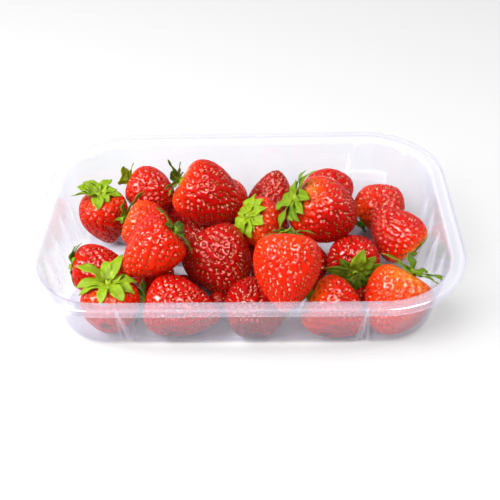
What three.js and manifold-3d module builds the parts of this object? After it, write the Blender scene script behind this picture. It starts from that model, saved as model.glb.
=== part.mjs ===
// A clear thermoformed punnet filled with strawberries.
// Millimetres, +Z up. The origin is the centre of the punnet's underside, +X runs along its length.
// Two solids: the punnet, a thin tray with a flat flange and fluted walls, and the heap of
// strawberries in it, every berry fused on a small core that fills the gaps between them.
import * as THREE from "three";
import { mergeVertices } from "three/addons/utils/BufferGeometryUtils.js";
import Module from "manifold-3d";

const wasm = await Module();
wasm.setup();

// ---------------------------------------------------------------- punnet sizes
const tray = {
  length: 187, // over the flange
  width: 130,
  height: 39,
  cornerRadius: 36.8, // of the flange, in plan
  flange: 5.8, // how far the flange stands out from the wall
  wall: 0.6,
  endDraft: 3.5, // how much further in the foot of an end wall is than its top
  sideDraft: 14,
  baseCornerRadius: 25,
  baseFillet: 3.5, // between the base and the walls
  lipDrop: 3, // the turned-down edge of the flange
  edgeRadius: 0.8,
  ledgeWidth: 3.3, // inner part of the flange, a little lower than the outer one
  ledgeDrop: 0.5,
};

// Tapered flutes pressed into the walls: widest and deepest at the base, gone near the rim.
const fluteTop = 35;
// The places are those on one side of the wall's middle, and the other side mirrors them.
const endFlutes = { at: [7.5, 22.5], halfWidth: 6.5, depth: 3.4 };
const sideFlutes = { at: [51], halfWidth: 2.6, depth: 1.8 };
const leastFluteWidth = 0.08; // share of the full width that is kept where a flute has run out

// Stations of the outline beside the flutes.
const endReach = 30.5; // y where an end wall hands over to the corner
const sideReach = 54.5; // x where a side wall hands over to the corner
const sideMiddle = 18; // one more plain station on a side wall
const cornerSteps = 7;

// ---------------------------------------------------------------- outline of the punnet
// Size of the wall's outer outline at height z, grown outwards by a given amount.
function outlineAt(z, grow) {
  const rise = THREE.MathUtils.clamp(z / tray.height, 0, 1);
  const topRadius = tray.cornerRadius - tray.flange;
  return {
    a: tray.length / 2 - tray.flange - tray.endDraft * (1 - rise) + grow,
    b: tray.width / 2 - tray.flange - tray.sideDraft * (1 - rise) + grow,
    r: THREE.MathUtils.lerp(tray.baseCornerRadius, topRadius, rise) + grow,
    flute: THREE.MathUtils.clamp(1 - z / fluteTop, 0, 1),
  };
}

// Distance from the middle to the outline across one axis, at a place `along` the other axis.
function reachAt(half, otherHalf, r, along) {
  const past = Math.abs(along) - (otherHalf - r);
  return past <= 0 ? half : half - r + Math.sqrt(Math.max(r * r - past * past, 0));
}

// Points along half a wall, from its middle outwards: three for each flute, pressed in at its middle.
function fluteStations(flutes, share) {
  const width = flutes.halfWidth * Math.max(share, leastFluteWidth);
  return flutes.at.flatMap((at) => [
    { along: at - width, press: 0 },
    { along: at, press: flutes.depth * share },
    { along: at + width, press: 0 },
  ]);
}

// One closed ring of the outline, anticlockwise from the end wall at +X: the outline that the
// wall has at height `level`, grown outwards and laid at height z.
function ring(z, grow, level = z) {
  const { a, b, r, flute } = outlineAt(level, grow);
  const end = fluteStations(endFlutes, flute);
  const side = [{ along: sideMiddle, press: 0 }, ...fluteStations(sideFlutes, flute)];
  const startAngle = Math.asin((endReach - (b - r)) / r);
  const stopAngle = Math.PI / 2 - Math.asin(Math.max(sideReach - (a - r), 0) / r);
  const corner = [];
  for (let i = 0; i <= cornerSteps; i++) {
    const angle = THREE.MathUtils.lerp(startAngle, stopAngle, i / cornerSteps);
    corner.push([a - r + r * Math.cos(angle), b - r + r * Math.sin(angle)]);
  }
  // a quarter of the outline, from the middle of the end wall to the middle of the side wall
  const quarter = [
    ...end.map(({ along, press }) => [reachAt(a, b, r, along) - press, along]),
    ...corner,
    ...side.reverse().map(({ along, press }) => [along, b - press]),
  ];
  const mirrored = (signX, signY) => quarter.map(([x, y]) => [signX * x, signY * y, z]);
  return [
    ...mirrored(1, 1),
    ...mirrored(-1, 1).reverse(),
    ...mirrored(-1, -1),
    ...mirrored(1, -1).reverse(),
  ];
}

// ---------------------------------------------------------------- solids from rings and booleans
function middleOf(points) {
  const sum = points.reduce((s, p) => [s[0] + p[0], s[1] + p[1], s[2] + p[2]], [0, 0, 0]);
  return sum.map((v) => v / points.length);
}

// A closed surface through rings of equally many points, shut by a fan to a pole at each end.
function solidFromRings(rings, firstPole = middleOf(rings[0]), lastPole = middleOf(rings.at(-1))) {
  const count = rings[0].length;
  const vertices = [firstPole, ...rings.flat(), lastPole];
  const last = vertices.length - 1;
  const faces = [];
  for (let i = 0; i < count; i++) {
    const next = (i + 1) % count;
    faces.push(0, 1 + next, 1 + i);
    for (let level = 0; level < rings.length - 1; level++) {
      const low = 1 + level * count;
      const high = low + count;
      faces.push(low + i, low + next, high + next, low + i, high + next, high + i);
    }
    faces.push(last, last - count + i, last - count + next);
  }
  return { vertices, faces };
}

// A solid from a closed geometry whose shared vertices are merged first.
function manifoldOfGeometry(geometry) {
  const plain = geometry.clone();
  plain.deleteAttribute("normal");
  plain.deleteAttribute("uv");
  const merged = mergeVertices(plain);
  return new wasm.Manifold(
    new wasm.Mesh({
      numProp: 3,
      vertProperties: merged.attributes.position.array,
      triVerts: new Uint32Array(merged.index.array),
    }),
  );
}

function manifoldOf({ vertices, faces }) {
  const geometry = new THREE.BufferGeometry();
  geometry.setAttribute("position", new THREE.Float32BufferAttribute(vertices.flat(), 3));
  geometry.setIndex(faces);
  return manifoldOfGeometry(geometry);
}

function geometryOf(solid) {
  const { vertProperties, triVerts } = solid.getMesh();
  const geometry = new THREE.BufferGeometry();
  geometry.setAttribute("position", new THREE.BufferAttribute(vertProperties, 3));
  geometry.setIndex(new THREE.BufferAttribute(triVerts, 1));
  const flat = geometry.toNonIndexed();
  flat.computeVertexNormals();
  return flat;
}

// ---------------------------------------------------------------- punnet
function makePunnet() {
  const { height, wall, flange, baseFillet, lipDrop, edgeRadius, ledgeWidth, ledgeDrop } = tray;
  const ledge = height - ledgeDrop;
  const innerFillet = baseFillet - wall;
  const half = Math.SQRT1_2;
  const outside = [
    ring(0, -baseFillet),
    ring(baseFillet * (1 - half), -baseFillet * (1 - half)),
    ring(baseFillet, 0),
    ring(fluteTop, 0),
    ring(ledge - wall - edgeRadius, 0),
    ring(ledge - wall, edgeRadius, height),
    ring(ledge - wall, ledgeWidth, height),
    ring(height - wall, ledgeWidth + ledgeDrop, height),
    ring(height - wall, flange - wall, height),
    ring(height - lipDrop, flange - wall, height),
    ring(height - lipDrop, flange, height),
    ring(height - edgeRadius, flange, height),
    ring(height, flange - edgeRadius, height),
  ];
  const inside = [
    ring(height, ledgeWidth + ledgeDrop, height),
    ring(ledge, ledgeWidth, height),
    ring(ledge, edgeRadius - wall, height),
    ring(ledge - edgeRadius, -wall),
    ring(fluteTop, -wall),
    ring(baseFillet, -wall),
    ring(baseFillet - innerFillet * half, -baseFillet + innerFillet * half),
    ring(wall, -baseFillet),
  ];
  return manifoldOf(solidFromRings([...outside, ...inside]));
}

// The space inside the punnet that the strawberries may fill, open upwards.
const heapClearance = 0.35;
const heapCeiling = 80;
function makeInside() {
  const gap = tray.wall + heapClearance;
  return manifoldOf(
    solidFromRings([
      ring(gap, -tray.baseFillet - heapClearance),
      ring(tray.baseFillet + heapClearance, -gap),
      ring(fluteTop, -gap),
      ring(tray.height, -gap),
      ring(heapCeiling, -gap, tray.height),
    ]),
  );
}

// ---------------------------------------------------------------- strawberries
// at: the middle of the berry. stem: the direction its calyx points in. taper: how much narrower
// the tip is than the shoulders. tip: the power of the profile at the tip, sharper above 1.
// cleft: depth of a notch in a double tip. hidden: nearly covered by others, so that fewer faces
// will do. calyx: how its leaves head at the root and at the tip, in degrees above the plane
// across the stem, and for each leaf its turn round the stem, its length, width and lift.
const berries = {
  frontLeft: { at: [-58.5, -35.5, 14.5], stem: [0.07, 0.1, 0.99],
    length: 27, width: 26, taper: 0.25,
    calyx: { rise: 14, fall: -42, leaves: [
      [250, 14.5, 4.8, 36], [205, 9.5, 5, 42], [163, 14, 4, 36], [126, 8, 5, 14], [98, 11, 4.4, 6],
      [72, 11.5, 4.6, 0], [34, 11, 5, 0], [345, 11, 5, 0], [306, 12.5, 4.6, 0], [281, 13, 4.2, 4],
    ] } },
  frontSecond: { at: [-27, -37.2, 13.6], stem: [-0.97, 0.2, 0.1],
    length: 35, width: 27.5, taper: 0.38, tip: 1.1,
    calyx: { rise: 20, fall: 0, leaves: [
      [82, 10, 7, 42], [120, 10, 6, 10], [40, 8, 6, 70], [335, 11, 5, 20], [300, 10, 5, 30],
    ] } },
  frontThird: { at: [4, -38.6, 13.6], stem: [0.3, 0.85, -0.3],
    length: 29, width: 27, taper: 0.3,
    calyx: { rise: 30, fall: 5, leaves: [
      [90, 12, 5, 25], [50, 9, 5, 10], [130, 9, 5, 10],
    ] } },
  frontFourth: { at: [39.2, -38.6, 13.6], stem: [-0.8, 0.3, 0.4],
    length: 29, width: 26.5, taper: 0.3,
    calyx: { rise: 25, fall: 5, leaves: [
      [345, 13, 5, 25], [20, 9, 5, 20], [60, 8, 5, 30], [95, 9, 5.5, 15], [300, 9, 5, 10],
    ] } },
  frontRight: { at: [65.5, -34.6, 15], stem: [0.5, 0.5, 0.65],
    length: 31, width: 29.5, taper: 0.25,
    calyx: { rise: 16, fall: -16, leaves: [
      [18, 14, 4.4, 2], [338, 11, 4.6, 40], [60, 9, 4, 0], [98, 6.5, 5.5, -4], [140, 8, 4, 0],
      [176, 13, 4.6, 4], [202, 16, 4, 16], [250, 8, 4, 30],
    ] } },
  leftMiddle: { at: [-67.6, -9.8, 13.3], stem: [-1, 0, 0.1],
    length: 27, width: 22, taper: 0.3,
    calyx: { rise: 0, fall: -50, leaves: [
      [98, 11, 3.4, 12], [124, 11, 3.4, 4], [282, 11, 3.4, 6], [62, 8, 4, 0], [330, 8, 4, 0],
      [240, 8, 4, 0],
    ] } },
  leftTop: { at: [-41, -20.5, 32], stem: [0.78, 0.4, 0.5],
    length: 32, width: 26, taper: 0.5, tip: 1.25,
    calyx: { rise: 10, fall: -25, leaves: [
      [48, 12, 3.2, 8], [322, 7, 3.8, 42], [228, 11, 3.6, 4], [5, 5, 4, 10], [270, 7, 3.6, 20],
      [90, 7, 4, 0],
    ] } },
  middle: { at: [-11.5, -9, 16], stem: [-0.45, 0.75, 0.45],
    length: 34, width: 32, taper: 0.3, tip: 0.95 },
  topFront: { at: [18.4, -38.6, 36.3], stem: [0.05, 0.72, 0.7],
    length: 34.5, width: 28, taper: 0.45, tip: 1.2,
    calyx: { rise: 0, fall: -48, leaves: [
      [8, 9, 2.6, 2], [40, 6.5, 3.6, 26], [80, 4.5, 5.4, 26], [112, 4, 4, 16], [150, 6, 3, 4],
      [172, 9, 1.8, 26], [280, 7, 4, 0],
    ] } },
  underFront: { at: [28, -8.5, 11.5], stem: [0, 1, 0],
    length: 24, width: 20, taper: 0.3, hidden: true },
  rightMiddle: { at: [49, -6, 15.5], stem: [0.03, -0.97, 0.16],
    length: 28, width: 24, taper: 0.3,
    calyx: { rise: 18, fall: -24, leaves: [
      [166, 13, 5.2, 6], [138, 9, 5.6, 2], [80, 11.5, 5.4, 6], [44, 10.5, 5.2, 4], [20, 11, 4.8, 2],
      [338, 9, 5, 0], [304, 9, 5, -4], [270, 11, 5, 0], [234, 8, 5, 0], [200, 9, 5, 0],
    ] } },
  rightTilted: { at: [69.5, 7.5, 19.8], stem: [0.65, -0.5, -0.57],
    length: 29, width: 25, taper: 0.4, tip: 1.1,
    calyx: { rise: -10, fall: -50, leaves: [
      [20, 7, 3.4, 0], [60, 8, 3.4, 0], [100, 8, 3.4, 0], [140, 7, 3.4, 0], [260, 7, 4, 0],
    ] } },
  backLeft: { at: [-70, 25, 16], stem: [-0.12, 0.12, 0.98],
    length: 29, width: 24, taper: 0.4, tip: 1.1,
    calyx: { rise: 14, fall: -26, leaves: [
      [306, 12, 5, 24], [270, 10, 5, 36], [242, 9, 5, 44], [208, 9, 5, 34], [165, 11, 4.8, 14],
      [120, 8, 5, 4], [84, 10, 5.2, -4], [50, 8, 5, 0], [8, 10.5, 5.2, -4],
    ] } },
  leftInner: { at: [-46, 12.5, 18.8], stem: [-0.9, 0.2, 0.35],
    length: 28, width: 24, taper: 0.3,
    calyx: { rise: 6, fall: -35, leaves: [
      [158, 17, 3.4, 2], [92, 9, 5.4, 34], [255, 9, 2.6, 60], [30, 6, 4, 10],
    ] } },
  backSecond: { at: [-48, 37, 23.5], stem: [-0.85, 0.3, 0.3],
    length: 26, width: 22, taper: 0.2,
    calyx: { rise: 12, fall: -20, leaves: [
      [74, 8.5, 5, 34], [122, 8, 2.4, 14], [24, 6, 4, 40], [200, 7, 4, 0],
    ] } },
  topLeft: { at: [-17.5, 21, 31.5], stem: [-0.85, 0.15, 0.5],
    length: 34.5, width: 30.5, taper: 0.16,
    calyx: { rise: 12, fall: -14, leaves: [
      [40, 8, 5, 44], [88, 13, 1.8, 46], [112, 7.5, 3, 30], [350, 12, 2.6, 22], [200, 7, 3.4, 0],
      [300, 8, 4, 6],
    ] } },
  backThird: { at: [-11, 40, 17], stem: [0.3, 0.3, -0.9],
    length: 24, width: 18, taper: 0.3, hidden: true },
  backFourth: { at: [12, 36.5, 18.5], stem: [-0.22, -0.2, -1],
    length: 30, width: 23, taper: 0.35, tip: 0.95 },
  centre: { at: [9.2, 12.5, 20.5], stem: [-0.64, -0.36, 0.68],
    length: 29, width: 24, taper: 0.3,
    calyx: { rise: 16, fall: -28, leaves: [
      [116, 10, 5.6, 4], [88, 10, 5, 2], [56, 10, 5.4, 2], [24, 10, 5.6, 0], [350, 8, 5, 0],
      [328, 10.5, 5.8, 2], [300, 10.5, 5.6, 4], [264, 8, 5, 4], [180, 6, 5, 0],
    ] } },
  topRight: { at: [36, 8, 32], stem: [-0.9, 0.02, 0.52],
    length: 33, width: 30, taper: 0.15,
    calyx: { rise: 14, fall: -34, leaves: [
      [86, 17, 4.4, 10], [104, 13, 4, 20], [46, 13.5, 6.4, 2], [14, 14, 6, 0], [352, 17, 4, 4],
      [330, 11, 5, 2], [312, 16, 6.2, 10], [276, 10, 5, 34], [230, 8, 5, 30], [160, 8, 5, 20],
    ] } },
  backFifth: { at: [39.5, 35, 20], stem: [0.2, 0.9, 0.3],
    length: 27, width: 25, taper: 0.3 },
  backRight: { at: [65.5, 33, 14.5], stem: [-0.7, -0.4, -0.5],
    length: 26, width: 25, taper: 0, cleft: 0.3,
    calyx: { rise: 20, fall: -10, leaves: [
      [90, 10, 6, 16], [45, 8, 5, 10], [135, 9, 5, 0], [250, 7, 5, 0],
    ] } },
  lowLeft: { at: [-43, -9, 10.5], stem: [0.3, -0.9, 0.1],
    length: 22, width: 19, taper: 0.3, hidden: true },
  lowBack: { at: [-33, 36.5, 10.5], stem: [0.9, 0.1, 0.2],
    length: 22, width: 19, taper: 0.3, hidden: true },
  lowMiddle: { at: [-25, 17, 9.5], stem: [0.2, 0.9, 0.1],
    length: 18, width: 16, taper: 0.3, hidden: true },
};

const berryRound = 12; // sides round a berry
const berrySteps = 8; // rings from stem to tip
const hiddenRound = 8; // the same for a berry that is nearly covered by others
const hiddenSteps = 6;
const shoulderPower = 0.85; // below 1 makes the ends blunter than an ellipse
const tipPower = 0.95; // where a berry has none of its own
const tipFrom = 0.4; // angle from the stem where the power starts to change
const tipBy = 2.6; // and where it has become the tip's
const stemDimple = 0.07; // share of the length that the stem end is sunk
const dimpleAngle = 0.5;
const cleftWidth = 0.35;
const cleftTurn = 1.3;
const angleStep = 0.02; // for looking along a profile

// Axes of a berry: its third axis points to the calyx.
function berryAxes(berry) {
  const stem = new THREE.Vector3(...berry.stem).normalize();
  const helper = Math.abs(stem.z) < 0.95 ? new THREE.Vector3(0, 0, 1) : new THREE.Vector3(1, 0, 0);
  const across = new THREE.Vector3().crossVectors(helper, stem).normalize();
  const up = new THREE.Vector3().crossVectors(stem, across);
  return { across, up, stem };
}

// Girth of the profile: sin^power (1 + taper cos), the power going from the shoulders' to the tip's.
function girthAt(berry, angle) {
  const share = THREE.MathUtils.smoothstep(angle, tipFrom, tipBy);
  const power = THREE.MathUtils.lerp(shoulderPower, berry.tip ?? tipPower, share);
  return Math.max(Math.sin(angle), 0) ** power * (1 + berry.taper * Math.cos(angle));
}

for (const berry of Object.values(berries)) {
  berry.peak = 0;
  for (let angle = 0; angle < Math.PI; angle += angleStep) {
    berry.peak = Math.max(berry.peak, girthAt(berry, angle));
  }
}

// The skin's distance from the axis and height along it, at an angle from the stem.
function profileAt(berry, angle) {
  const sunk = berry.length * stemDimple * Math.exp(-((angle / dimpleAngle) ** 2));
  return {
    radius: ((berry.width / 2) * girthAt(berry, angle)) / berry.peak,
    rise: (berry.length / 2) * Math.cos(angle) - sunk,
  };
}

// A place given by its distances from the berry's middle along its three axes.
function placeAt(berry, x, y, z) {
  const { across, up, stem } = berryAxes(berry);
  return new THREE.Vector3(...berry.at)
    .addScaledVector(across, x)
    .addScaledVector(up, y)
    .addScaledVector(stem, z)
    .toArray();
}

// Point of a berry's skin: angle 0 is the stem, pi the tip; turn goes round the axis.
function berryPoint(berry, angle, turn) {
  const { radius, rise } = profileAt(berry, angle);
  let notch = 1;
  if (rise < 0 && berry.cleft) {
    notch -= berry.cleft * Math.exp(-((Math.cos(turn - cleftTurn) / cleftWidth) ** 2));
  }
  return placeAt(berry, radius * Math.cos(turn), radius * Math.sin(turn), rise * notch);
}

function makeBerry(berry) {
  const steps = berry.hidden ? hiddenSteps : berrySteps;
  const round = berry.hidden ? hiddenRound : berryRound;
  const rings = [];
  for (let step = 1; step < steps; step++) {
    const angle = Math.PI * (1 - step / steps);
    const points = [];
    for (let i = 0; i < round; i++) {
      points.push(berryPoint(berry, angle, (2 * Math.PI * i) / round));
    }
    rings.push(points);
  }
  const tip = berryPoint(berry, Math.PI, 0);
  const stemEnd = berryPoint(berry, 0, 0);
  return manifoldOf(solidFromRings(rings, tip, stemEnd));
}

// ---------------------------------------------------------------- calyxes
const leafShape = {
  thickness: 0.9,
  rootAngle: 0.12, // from the stem, where the height of its start is taken
  rootRadius: 0.8,
  rootRise: 0.5, // how far its start lies over the dimple
  rootDepth: 1.6, // and how far its root is sunk below that
  rootWidth: 0.7, // share of its width that the root has
  bend: 1.2, // power by which its heading changes along it
  fold: 0.3, // how far its mid rib lies below its edges, as a share of half its width
  gap: 0.35, // least height over the berry
  steps: 12, // of its middle line
  widest: 5, // the step where it is widest
};

// Middle line of a leaf, from its root to its tip, as distance from the axis, height along it and
// heading at each step.
function leafLine(berry, length, lift) {
  const { rise: start, fall: stop } = berry.calyx;
  let radius = leafShape.rootRadius;
  let rise = profileAt(berry, leafShape.rootAngle).rise + leafShape.rootRise;
  const line = [];
  for (let step = 0; step <= leafShape.steps; step++) {
    const share = (step / leafShape.steps) ** leafShape.bend;
    const heading = THREE.MathUtils.degToRad(start + lift + (stop - start) * share);
    radius += (Math.cos(heading) * length) / leafShape.steps;
    rise += (Math.sin(heading) * length) / leafShape.steps;
    line.push({ radius, rise, heading });
  }
  return line;
}

// How far the skin is from the berry's middle, towards an angle from the stem.
function skinReach(berry, towards) {
  let least = Infinity;
  let reach = 0;
  for (let angle = 0; angle <= Math.PI; angle += angleStep) {
    const { radius, rise } = profileAt(berry, angle);
    const off = Math.abs(Math.atan2(radius, rise) - towards);
    if (off < least) {
      least = off;
      reach = Math.hypot(radius, rise);
    }
  }
  return reach;
}

// A leaf is a thin folded blade with a root, a broad middle and a pointed tip, on both faces alike.
// Where its middle line would run through the berry, it is pushed out to just over the skin.
function makeLeaf(berry, [degrees, length, width, lift]) {
  const turn = THREE.MathUtils.degToRad(degrees);
  const line = leafLine(berry, length, lift);
  const place = ({ radius, rise, heading, sunk = 0 }, sideways, height) => {
    const towards = Math.atan2(Math.hypot(radius, sideways), rise);
    const own = Math.hypot(radius, sideways, rise);
    const push = Math.max(1, (skinReach(berry, towards) + leafShape.gap) / own);
    const outward = radius * push - height * Math.sin(heading);
    const x = outward * Math.cos(turn) - sideways * push * Math.sin(turn);
    const y = outward * Math.sin(turn) + sideways * push * Math.cos(turn);
    return placeAt(berry, x, y, rise * push + height * Math.cos(heading) - sunk);
  };
  const ringAt = (station, half) => [
    place(station, -half, leafShape.fold * half),
    place(station, 0, -leafShape.thickness / 2),
    place(station, half, leafShape.fold * half),
    place(station, 0, leafShape.thickness / 2),
  ];
  const start = { ...line[0], sunk: leafShape.rootDepth };
  const root = ringAt(start, (leafShape.rootWidth * width) / 2);
  const middle = ringAt(line[leafShape.widest], width / 2);
  return manifoldOf(solidFromRings([root, middle], middleOf(root), place(line.at(-1), 0, 0)));
}

// ---------------------------------------------------------------- core of the heap
// A flat slab through the lowest layer of berries, and a post under each berry above it.
const core = {
  length: 128,
  width: 66,
  low: 6,
  high: 13,
  cornerRadius: 20,
  postAbove: 19, // berries with their middle higher than this stand on a post
  postRadius: 5,
};

function makeCore() {
  const outline = new THREE.Shape();
  const x = core.length / 2;
  const y = core.width / 2;
  const r = core.cornerRadius;
  outline.moveTo(x, -y + r);
  outline.absarc(x - r, y - r, r, 0, Math.PI / 2);
  outline.absarc(-x + r, y - r, r, Math.PI / 2, Math.PI);
  outline.absarc(-x + r, -y + r, r, Math.PI, (3 * Math.PI) / 2);
  outline.absarc(x - r, -y + r, r, (3 * Math.PI) / 2, 2 * Math.PI);
  const depth = core.high - core.low;
  const slab = new THREE.ExtrudeGeometry(outline, { depth, bevelEnabled: false, curveSegments: 3 });
  slab.translate(0, 0, core.low);
  return manifoldOfGeometry(slab);
}

function makePost(berry) {
  const [x, y, z] = berry.at;
  const height = z - core.low;
  const post = new THREE.CylinderGeometry(core.postRadius, core.postRadius, height, 6);
  post.rotateX(Math.PI / 2);
  post.translate(x, y, core.low + height / 2);
  return manifoldOfGeometry(post);
}

function makeHeap() {
  let heap = makeCore();
  for (const berry of Object.values(berries)) {
    heap = heap.add(makeBerry(berry));
    if (berry.at[2] > core.postAbove) heap = heap.add(makePost(berry));
    for (const leaf of berry.calyx?.leaves ?? []) heap = heap.add(makeLeaf(berry, leaf));
  }
  return heap.intersect(makeInside());
}

// ---------------------------------------------------------------- the object
function namedMesh(name, solid, material) {
  const mesh = new THREE.Mesh(geometryOf(solid), material);
  mesh.name = name;
  return mesh;
}

const clearPlastic = new THREE.MeshStandardMaterial({
  color: 0xeef2f5, roughness: 0.08, metalness: 0, transparent: true, opacity: 0.3,
});
const strawberryRed = new THREE.MeshStandardMaterial({ color: 0xd0140c, roughness: 0.3, metalness: 0 });

const punnetOfStrawberries = new THREE.Group();
punnetOfStrawberries.add(namedMesh("punnet", makePunnet(), clearPlastic));
punnetOfStrawberries.add(namedMesh("strawberries", makeHeap(), strawberryRed));

export default punnetOfStrawberries;
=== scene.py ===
import bpy
import math
import numpy as np
from mathutils import Matrix


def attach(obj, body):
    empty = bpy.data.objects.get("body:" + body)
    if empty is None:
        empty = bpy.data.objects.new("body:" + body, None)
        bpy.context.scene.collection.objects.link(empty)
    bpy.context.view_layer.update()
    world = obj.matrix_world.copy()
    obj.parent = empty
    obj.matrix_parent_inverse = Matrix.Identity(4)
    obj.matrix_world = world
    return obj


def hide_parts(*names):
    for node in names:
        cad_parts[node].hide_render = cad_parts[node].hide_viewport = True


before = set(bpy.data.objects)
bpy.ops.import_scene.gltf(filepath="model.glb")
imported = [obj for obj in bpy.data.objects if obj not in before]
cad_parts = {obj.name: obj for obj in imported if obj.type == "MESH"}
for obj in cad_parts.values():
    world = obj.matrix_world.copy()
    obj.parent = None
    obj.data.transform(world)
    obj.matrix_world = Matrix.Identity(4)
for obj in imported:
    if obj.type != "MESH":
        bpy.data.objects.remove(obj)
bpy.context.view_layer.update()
print("frame loaded, nodes:", ", ".join(sorted(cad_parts)))

scene = bpy.context.scene
mm = 0.001


# quads between neighbouring rows and columns of a grid, whose last column joins the first
def ringFaces(rows, columns, first=0):
    row, column = np.meshgrid(np.arange(rows - 1), np.arange(columns), indexing="ij")
    after = (column + 1) % columns
    here, below = row * columns, (row + 1) * columns
    return first + np.stack([here + column, below + column, below + after, here + after], -1).reshape(-1, 4)


# quads of an open grid
def sheetFaces(rows, columns, first=0):
    row, column = np.meshgrid(np.arange(rows - 1), np.arange(columns - 1), indexing="ij")
    start = row * columns + column
    return first + np.stack([start, start + columns, start + columns + 1, start + 1], -1).reshape(-1, 4)


# triangles from one point to a ring that starts at a given vertex
def fanFaces(pole, start, columns, turned=False):
    column = np.arange(columns)
    after = (column + 1) % columns
    order = [start + column, start + after] if turned else [start + after, start + column]
    return np.stack([np.full(columns, pole), order[1], order[0]], -1)


# a berry's or seed's grid of rings, with its first and last points as poles
def closedFaces(rows, columns):
    last = rows * columns + 1
    below = fanFaces(last, last - columns, columns, turned=True)
    return [fanFaces(0, 1, columns), ringFaces(rows, columns, 1), below]


# points in mm become a smooth piece in metres, with a float attribute for each named array;
# normals, where given, are the exact ones of the shape's formula
def addPiece(name, points, faces, material, attributes=None, normals=None):
    mesh = bpy.data.meshes.new(name)
    mesh.from_pydata((points * mm).tolist(), [], [face for part in faces for face in part.tolist()])
    for key, values in (attributes or {}).items():
        mesh.attributes.new(key, "FLOAT", "POINT").data.foreach_set("value", values.astype(np.float32))
    mesh.shade_smooth()
    if normals is not None:
        mesh.normals_split_custom_set_from_vertices(normals)
    mesh.materials.append(material)
    piece = bpy.data.objects.new(name, mesh)
    scene.collection.objects.link(piece)
    return piece


def unit(vector):
    vector = np.asarray(vector, float)
    return vector / np.linalg.norm(vector)


# 0 below low, 1 above high, and a smooth s between them
def smoothStep(low, high, value):
    share = np.clip((value - low) / (high - low), 0, 1)
    return share * share * (3 - 2 * share)


def newMaterial(name):
    material = bpy.data.materials.new(name)
    material.use_nodes = True
    material.node_tree.nodes.clear()
    return material, material.node_tree


# a socket takes a value, or a link from another node's output
def feed(tree, socket, value):
    if isinstance(value, bpy.types.NodeSocket):
        tree.links.new(value, socket)
    else:
        socket.default_value = value


def addNode(tree, kind, values=None, **settings):
    node = tree.nodes.new(kind)
    for key, value in settings.items():
        setattr(node, key, value)
    for key, value in (values or {}).items():
        feed(tree, node.inputs[key], value)
    return node


# the Principled shader as a material's whole surface
def addSurface(tree, values):
    shader = addNode(tree, "ShaderNodeBsdfPrincipled", values).outputs[0]
    addNode(tree, "ShaderNodeOutputMaterial", {"Surface": shader})


def attributeOf(tree, name):
    return addNode(tree, "ShaderNodeAttribute", attribute_name=name).outputs["Fac"]


def mathOf(tree, operation, *values, clamp=False):
    node = tree.nodes.new("ShaderNodeMath")
    node.operation = operation
    node.use_clamp = clamp
    for socket, value in zip(node.inputs, values):
        feed(tree, socket, value)
    return node.outputs[0]


def mixColour(tree, share, first, second):
    node = tree.nodes.new("ShaderNodeMix")
    node.data_type = "RGBA"
    for place, value in ((0, share), (6, first), (7, second)):
        feed(tree, node.inputs[place], (*value, 1) if isinstance(value, tuple) else value)
    return node.outputs[2]


# a colour ramp through (place, colour) stops
def rampOf(tree, value, stops):
    node = tree.nodes.new("ShaderNodeValToRGB")
    elements = node.color_ramp.elements
    while len(elements) < len(stops):
        elements.new(1)
    for element, (place, colour) in zip(elements, stops):
        element.position = place
        element.color = (*colour, 1)
    tree.links.new(value, node.inputs[0])
    return node.outputs[0]


def noiseOf(tree, scale, detail):
    place = addNode(tree, "ShaderNodeTexCoord").outputs["Object"]
    values = {"Vector": place, "Scale": scale, "Detail": detail}
    return addNode(tree, "ShaderNodeTexNoise", values).outputs["Fac"]


punnet = {
    "length": 187, "width": 130, "height": 39, "cornerRadius": 36.8,
    "flange": 5.8, "wall": 0.6, "endDraft": 3.5, "sideDraft": 14,
    "baseCornerRadius": 25, "baseFillet": 3.5, "baseRings": (34, 20, 9),
    "ledgeWidth": 3.3, "ledgeDrop": 0.5, "lipDrop": 3,
    # radii where the wall turns under the ledge, where the lip turns down, inside the lip, and at the mouth
    "underRadius": 0.8, "lipRadius": 1.2, "lipHollow": 0.5, "mouthRadius": 1.2,
    "fluteTop": 35, "endFlutes": (-22.5, -7.5, 7.5, 22.5), "endFluteHalf": 6.5, "endFluteDepth": 3.4,
    "sideFlutes": (-51, 51), "sideFluteHalf": 2.6, "sideFluteDepth": 1.8,
    "leastFlute": 0.08, "fluteSoft": 0.02,
    "stations": (40, 26, 110),  # points along half an end wall, a corner and half a side wall
    "wallRows": 46,
    # painted glints: how much whiter the plastic is painted along sharp edges and creases, and how broad a
    # crease is
    "sharp": 1.2, "sharpShare": 0.4, "sideLine": 0.5, "creaseWidth": 0.38,
    # small bumps that keep stacked punnets apart: x, y, level and the way out of the wall there,
    # mirrored to all four quarters
    "bumps": ((55, 58.5, 35.4, 0, 1), (78, 50, 35.8, 0.7, 0.7)), "bumpRadius": 1.5, "bumpDepth": 0.8,
    # a plain raised rectangle on the back wall: from x, to x, from level, to level, how far it stands in,
    # then how soft and how broad its edge is, how much whiter its edge is painted as a painted glint, and how
    # much whiter its face is
    "panel": (48.0, 70.0, 17.4, 23.4, 0.4), "panelSoft": 0.5, "panelEdge": 1, "panelPaintedGlint": (0.3, 0.15),
}


# half length, half width and corner radius of the wall's outer outline at a height
def outlineAt(level):
    p = punnet
    rise = np.clip(level / p["height"], 0, 1)
    topRadius = p["cornerRadius"] - p["flange"]
    a = p["length"] / 2 - p["flange"] - p["endDraft"] * (1 - rise)
    b = p["width"] / 2 - p["flange"] - p["sideDraft"] * (1 - rise)
    r = p["baseCornerRadius"] + (topRadius - p["baseCornerRadius"]) * rise
    return a, b, r


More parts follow.
